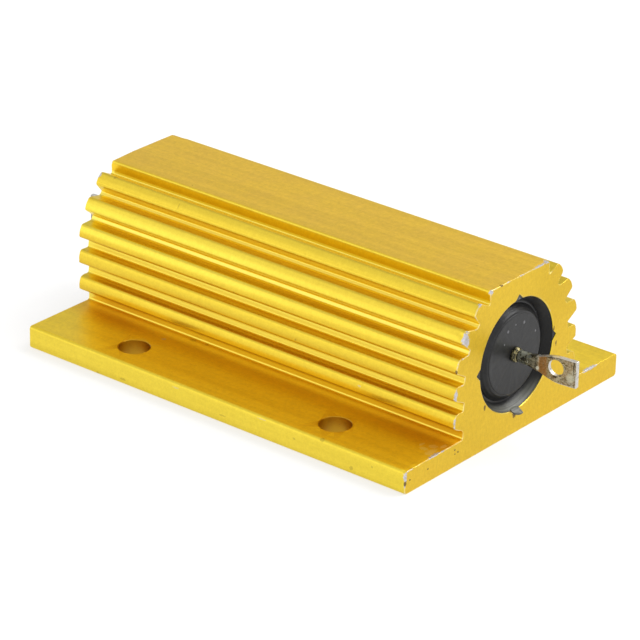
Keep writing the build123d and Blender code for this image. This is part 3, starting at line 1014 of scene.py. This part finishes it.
    # Worn edges at the sawn ends, broken up along their length
    rim = s.times(s.step(s.attribute("edge"), 0.3, 0.8), s.step(turned, 6.5, 8.0, 1.0, 0.12))
    faint = s.step(s.noise(0.9, 3.0, 0.6), 0.3, 0.6, 0.05, 0.4)
    base = s.mix(s.times(rim, faint), base, rgb(252, 240, 190))
    broken = s.step(s.noise(0.5, 4.0, 0.7), 0.53, 0.63)
    bare = s.most(s.spots(BARE, ragged), s.times(rim, broken))
    bare = s.most(bare, s.times(s.spots(GLINTS, ragged), 0.35))
    dark = s.most(s.spots(PITS_AND_SHADE, ragged), s.times(pits, 0.7))
    dark = s.most(dark, s.times(s.spots(NICKS, ragged), 0.34))
    silver = s.mix(s.noise(3.0, 3.0, 0.7), rgb(150, 146, 148), rgb(232, 230, 236))
    color = s.mix(bare, base, silver)
    color = s.mix(s.times(dark, 0.85), color, rgb(92, 62, 26))
    rough = s.line(streak, 0.12, 0.27)
    for mask, more in ((ends, 0.12), (flat, 0.08), (bare, 0.05)):
        rough = s.line(mask, more, rough)
    saw = s.noise(5.0, 3.0, 0.6, of=s.scaled(1000, 1000, 160))
    height = s.plus(s.times(sides, s.line(hair, 0.3, s.times(streak, 0.6))), s.times(ends, saw))
    height = s.plus(height, s.times(grain, 0.35))
    height = s.less(s.less(height, s.times(dark, 2.0)), s.times(bare, 0.8))
    s.set(color=color, metal=1.0, rough=rough, normal=s.bump(height, 0.3, 0.00002), coat=0.5, coat_rough=0.3,
          tint=(1.0, 0.92, 0.5, 1))
    return s.material


def silicone():
    s = Shader("black_silicone")
    x, y, z = s.split(s.mm)
    up = s.less(z, AXIS_Z)
    r = s.math("SQRT", s.plus(s.times(y, y), s.times(up, up)))
    # Rings round the axis
    around = s.node("CombineXYZ", X=s.times(r, 6.0), Y=s.times(y, 0.08), Z=s.times(up, 0.08))
    turned = s.noise(1.0, 3.0, 0.6, of=around.outputs[0])
    mottle = s.noise(1.1, 4.0, 0.65)
    grain = s.noise(7.0, 3.0, 0.7)
    wall = s.step(r, 6.5, 7.1)
    base = s.mix(s.step(mottle, 0.3, 0.75), rgb(33, 33, 34), rgb(46, 46, 46))
    # Painted shade: the groove's wall shows its moulded rings and is darker, black on its +y side, and the plateau's
    # lower part is darker still
    base = s.mix(s.times(wall, 0.5), base, s.mix(s.step(turned, 0.4, 0.65), rgb(12, 12, 12), rgb(34, 34, 33)))
    base = s.mix(s.times(wall, s.step(y, 3.0, 6.0)), base, rgb(9, 9, 9))
    base = s.tint(base, (0.35, 0.35, 0.35, 1), s.times(s.step(z, 10.5, 5.5), s.step(r, 6.6, 6.2)))
    # Painted highlight: the groove's outer side is lighter grey, most of all at the bottom, and less at the top
    # towards -y
    above = s.times(s.step(z, 14.0, 17.5), s.step(y, 1.5, -0.5, 0.0, 0.6))
    painted_highlight = s.most(s.times(s.step(r, 7.0, 7.6), s.step(z, 6.5, 4.2)), s.times(s.step(r, 7.1, 7.6), above))
    base = s.mix(painted_highlight, base, s.mix(s.step(turned, 0.35, 0.65), rgb(80, 80, 74), rgb(108, 109, 99)))
    # Painted shadow: the lowest key is black under the flash tongue
    tongue_shadow = s.times(s.step(r, 7.95, 8.05), s.step(x, 32.58, 32.54), s.step(z, 6.0, 5.0))
    base = s.mix(tongue_shadow, base, rgb(3, 3, 3))
    dust = s.spots(DUST, s.ragged(s.noise(5.0, 3.0, 0.7), 1.2))
    dust = s.most(dust, s.times(s.specks(0.8, (0.8, 0.84), (0.09, 0.05)), 0.5))
    color = s.mix(s.times(dust, 0.55), base, rgb(150, 150, 154))
    height = s.plus(s.plus(s.times(turned, 0.5), s.times(grain, 0.3)), dust)
    s.set(color=color, metal=0.0, rough=s.line(mottle, 0.16, 0.28), normal=s.bump(height, 0.5, 0.00003), specular=0.3)
    return s.material


def tinned():
    s = Shader("tinned_metal")
    out = s.size(s.split(s.mm)[0])
    mottle = s.noise(1.9, 5.0, 0.7, 0.4)
    fine = s.noise(5.5, 4.0, 0.7)
    blot = s.noise(0.8, 3.0, 0.6)
    both = s.plus(s.times(mottle, 0.45), s.times(fine, 0.55))
    base = s.mix(s.step(both, 0.4, 0.6), rgb(98, 88, 62), rgb(188, 184, 166))
    base = s.mix(s.times(s.step(blot, 0.42, 0.62), 0.4), base, rgb(146, 118, 78))
    # Stained pin, with lighter flecks
    flecks = s.mix(s.step(both, 0.42, 0.54), rgb(72, 71, 58), rgb(182, 186, 168))
    base = s.mix(s.times(s.step(out, 35.9, 35.0), 0.85), base, flecks)
    # Copper colour just past the crease
    copper = s.times(s.step(out, 36.15, 36.4), s.step(out, 37.7, 37.2), s.step(mottle, 0.28, 0.5), 0.7)
    base = s.mix(copper, base, rgb(156, 106, 52))
    # Dark bead at the pin's foot
    bead = s.times(s.step(out, 33.15, 32.95), s.step(out, 32.1, 32.2), 0.85)
    base = s.mix(bead, base, s.mix(s.step(both, 0.45, 0.62), rgb(26, 21, 10), rgb(190, 174, 112)))
    ragged = s.ragged(fine, 1.6)
    dark = s.most(s.times(s.specks(2.4, (0.55, 0.6), (0.16, 0.09)), 0.6), s.times(s.spots(STAINS, ragged), 0.8))
    base = s.mix(dark, base, rgb(44, 36, 24))
    # Dark where the pin widens into the lug
    neck = s.times(s.step(out, 34.6, 35.0), s.step(out, 36.3, 35.9), 0.88)
    base = s.mix(neck, base, s.mix(s.step(both, 0.45, 0.6), rgb(40, 36, 24), rgb(108, 102, 82)))
    # Painted highlights on the pin, neck and lug
    base = s.mix(s.times(s.spots(TERMINAL_HIGHLIGHTS, ragged), 0.55), base, rgb(206, 210, 196))
    # Painted highlight along the lug's edges and round its eye
    painted_highlight = s.times(s.step(s.attribute("edge"), 0.5, 0.9), s.step(s.noise(1.4, 3.0, 0.6), 0.3, 0.45), 0.6)
    base = s.mix(painted_highlight, base, rgb(232, 232, 232))
    height = s.less(s.plus(s.times(mottle, 0.8), s.times(fine, 0.6)), s.times(dark, 0.5))
    s.set(color=base, metal=0.9, rough=s.line(mottle, 0.25, 0.25), normal=s.bump(height, 0.5, 0.00004))
    return s.material


def plain_metal(name, low, high, rough_low, rough_high, scale):
    s = Shader(name)
    wave = s.noise(scale, 3.0, 0.6, of=s.scaled(200, 1000, 1000))
    s.set(color=s.mix(wave, low, high), metal=1.0, rough=s.step(wave, 0.2, 0.8, rough_low, rough_high),
          normal=s.bump(s.noise(6.0, 2.0), 0.3, 0.00001))
    return s.material


def ceramic():
    s = Shader("core_ceramic")
    mottle = s.noise(0.8, 4.0, 0.6)
    grain = s.noise(9.0, 3.0, 0.7)
    s.set(color=s.mix(mottle, rgb(226, 220, 204), rgb(240, 236, 226)), metal=0.0,
          rough=s.step(grain, 0.2, 0.8, 0.6, 0.8), normal=s.bump(grain, 0.4, 0.00002))
    return s.material


def dress(obj, material):
    obj.data.materials.clear()
    obj.data.materials.append(material)


# The object
gold_material, silicone_material, tin_material = gold(), silicone(), tinned()
dress(make_housing(), gold_material)
dress(make_moulding(), silicone_material)
dress(make_tongue(), silicone_material)
dress(make_terminal("terminal_lug_near", 1, "terminal_near", 0.0), tin_material)
dress(make_terminal("terminal_lug_far", -1, "terminal_far", 40.0), tin_material)
dress(NODES["core"], ceramic())
dress(NODES["winding"], plain_metal("ribbon_alloy", rgb(120, 112, 102), rgb(168, 160, 148), 0.3, 0.5, 2.0))
cap_material = plain_metal("cap_steel", rgb(168, 168, 170), rgb(205, 205, 208), 0.25, 0.4, 1.2)
dress(NODES["cap_near"], cap_material)
dress(NODES["cap_far"], cap_material)


# Floor, light and camera
def studio_floor():
    """A wide grey floor that is seen, straight or in a mirror, as plain white."""
    bm = bmesh.new()
    bmesh.ops.create_circle(bm, cap_ends=True, segments=96, radius=3000)
    for v in bm.verts:
        v.co.z = -0.02
    floor = new_object("floor", bm)
    s = Shader("floor_white")
    s.set(color=(0.34, 0.34, 0.34, 1), rough=0.9, specular=0.1)
    path = s.node("LightPath").outputs
    seen = s.most(s.most(path["Is Camera Ray"], path["Is Glossy Ray"]), path["Is Transmission Ray"])
    both = s.node("AddShader")
    s.put(both.inputs[0], s.bsdf.outputs[0])
    s.put(both.inputs[1], s.node("Emission", Strength=s.times(seen, 0.64)).outputs[0])
    s.put(s.out.inputs[0], both.outputs[0])
    dress(floor, s.material)


def studio_world():
    """A white studio that is lighter in front of the object than behind it, with a brighter band low down."""
    world = bpy.data.worlds.new("studio")
    bpy.context.scene.world = world
    world.use_nodes = True
    s = Nodes(world.node_tree)
    _, y, z = s.split(s.coords["Generated"])
    level = s.step(y, -0.7, 0.7, 1.1, 0.62)
    band = s.step(s.size(s.less(z, 0.18)), 0.06, 0.4, 1.28, 0.88)
    pick = s.node("MixShader", Fac=s.node("LightPath").outputs["Is Camera Ray"])
    for socket, strength in zip(pick.inputs[1:], (s.times(level, band), 1.0)):
        s.put(socket, s.node("Background", Color=(1, 1, 1, 1), Strength=strength).outputs[0])
    s.node("OutputWorld", Surface=pick.outputs[0])


def soft_lamp(name, place, target, size, watts):
    lamp = bpy.data.lights.new(name, "AREA")
    lamp.shape = "DISK"
    lamp.size = size
    lamp.energy = watts
    obj = bpy.data.objects.new(name, lamp)
    obj.location = place
    obj.rotation_euler = (Vector(target) - Vector(place)).to_track_quat("-Z", "Y").to_euler()
    obj.visible_camera = False
    bpy.context.scene.collection.objects.link(obj)


def camera():
    data = bpy.data.cameras.new("camera")
    data.sensor_width = 36
    data.lens = 196.67
    data.clip_start = 0.01
    data.clip_end = 20
    obj = bpy.data.objects.new("camera", data)
    right = Vector((0.77186, 0.63558, 0.01627))
    down = Vector((0.28109, -0.31819, -0.9054))
    ahead = Vector((-0.57028, 0.70342, -0.42425))
    m = Matrix((right, -down, -ahead)).transposed().to_4x4()
    m.translation = (0.26958, -0.33296, 0.20692)
    obj.matrix_world = m
    bpy.context.scene.collection.objects.link(obj)
    bpy.context.scene.camera = obj


studio_floor()
studio_world()
soft_lamp("key", (0.39, 0.68, 0.93), (0.03, 0, 0.01), 0.95, 12.5)
camera()
bpy.context.scene.view_settings.view_transform = "Standard"
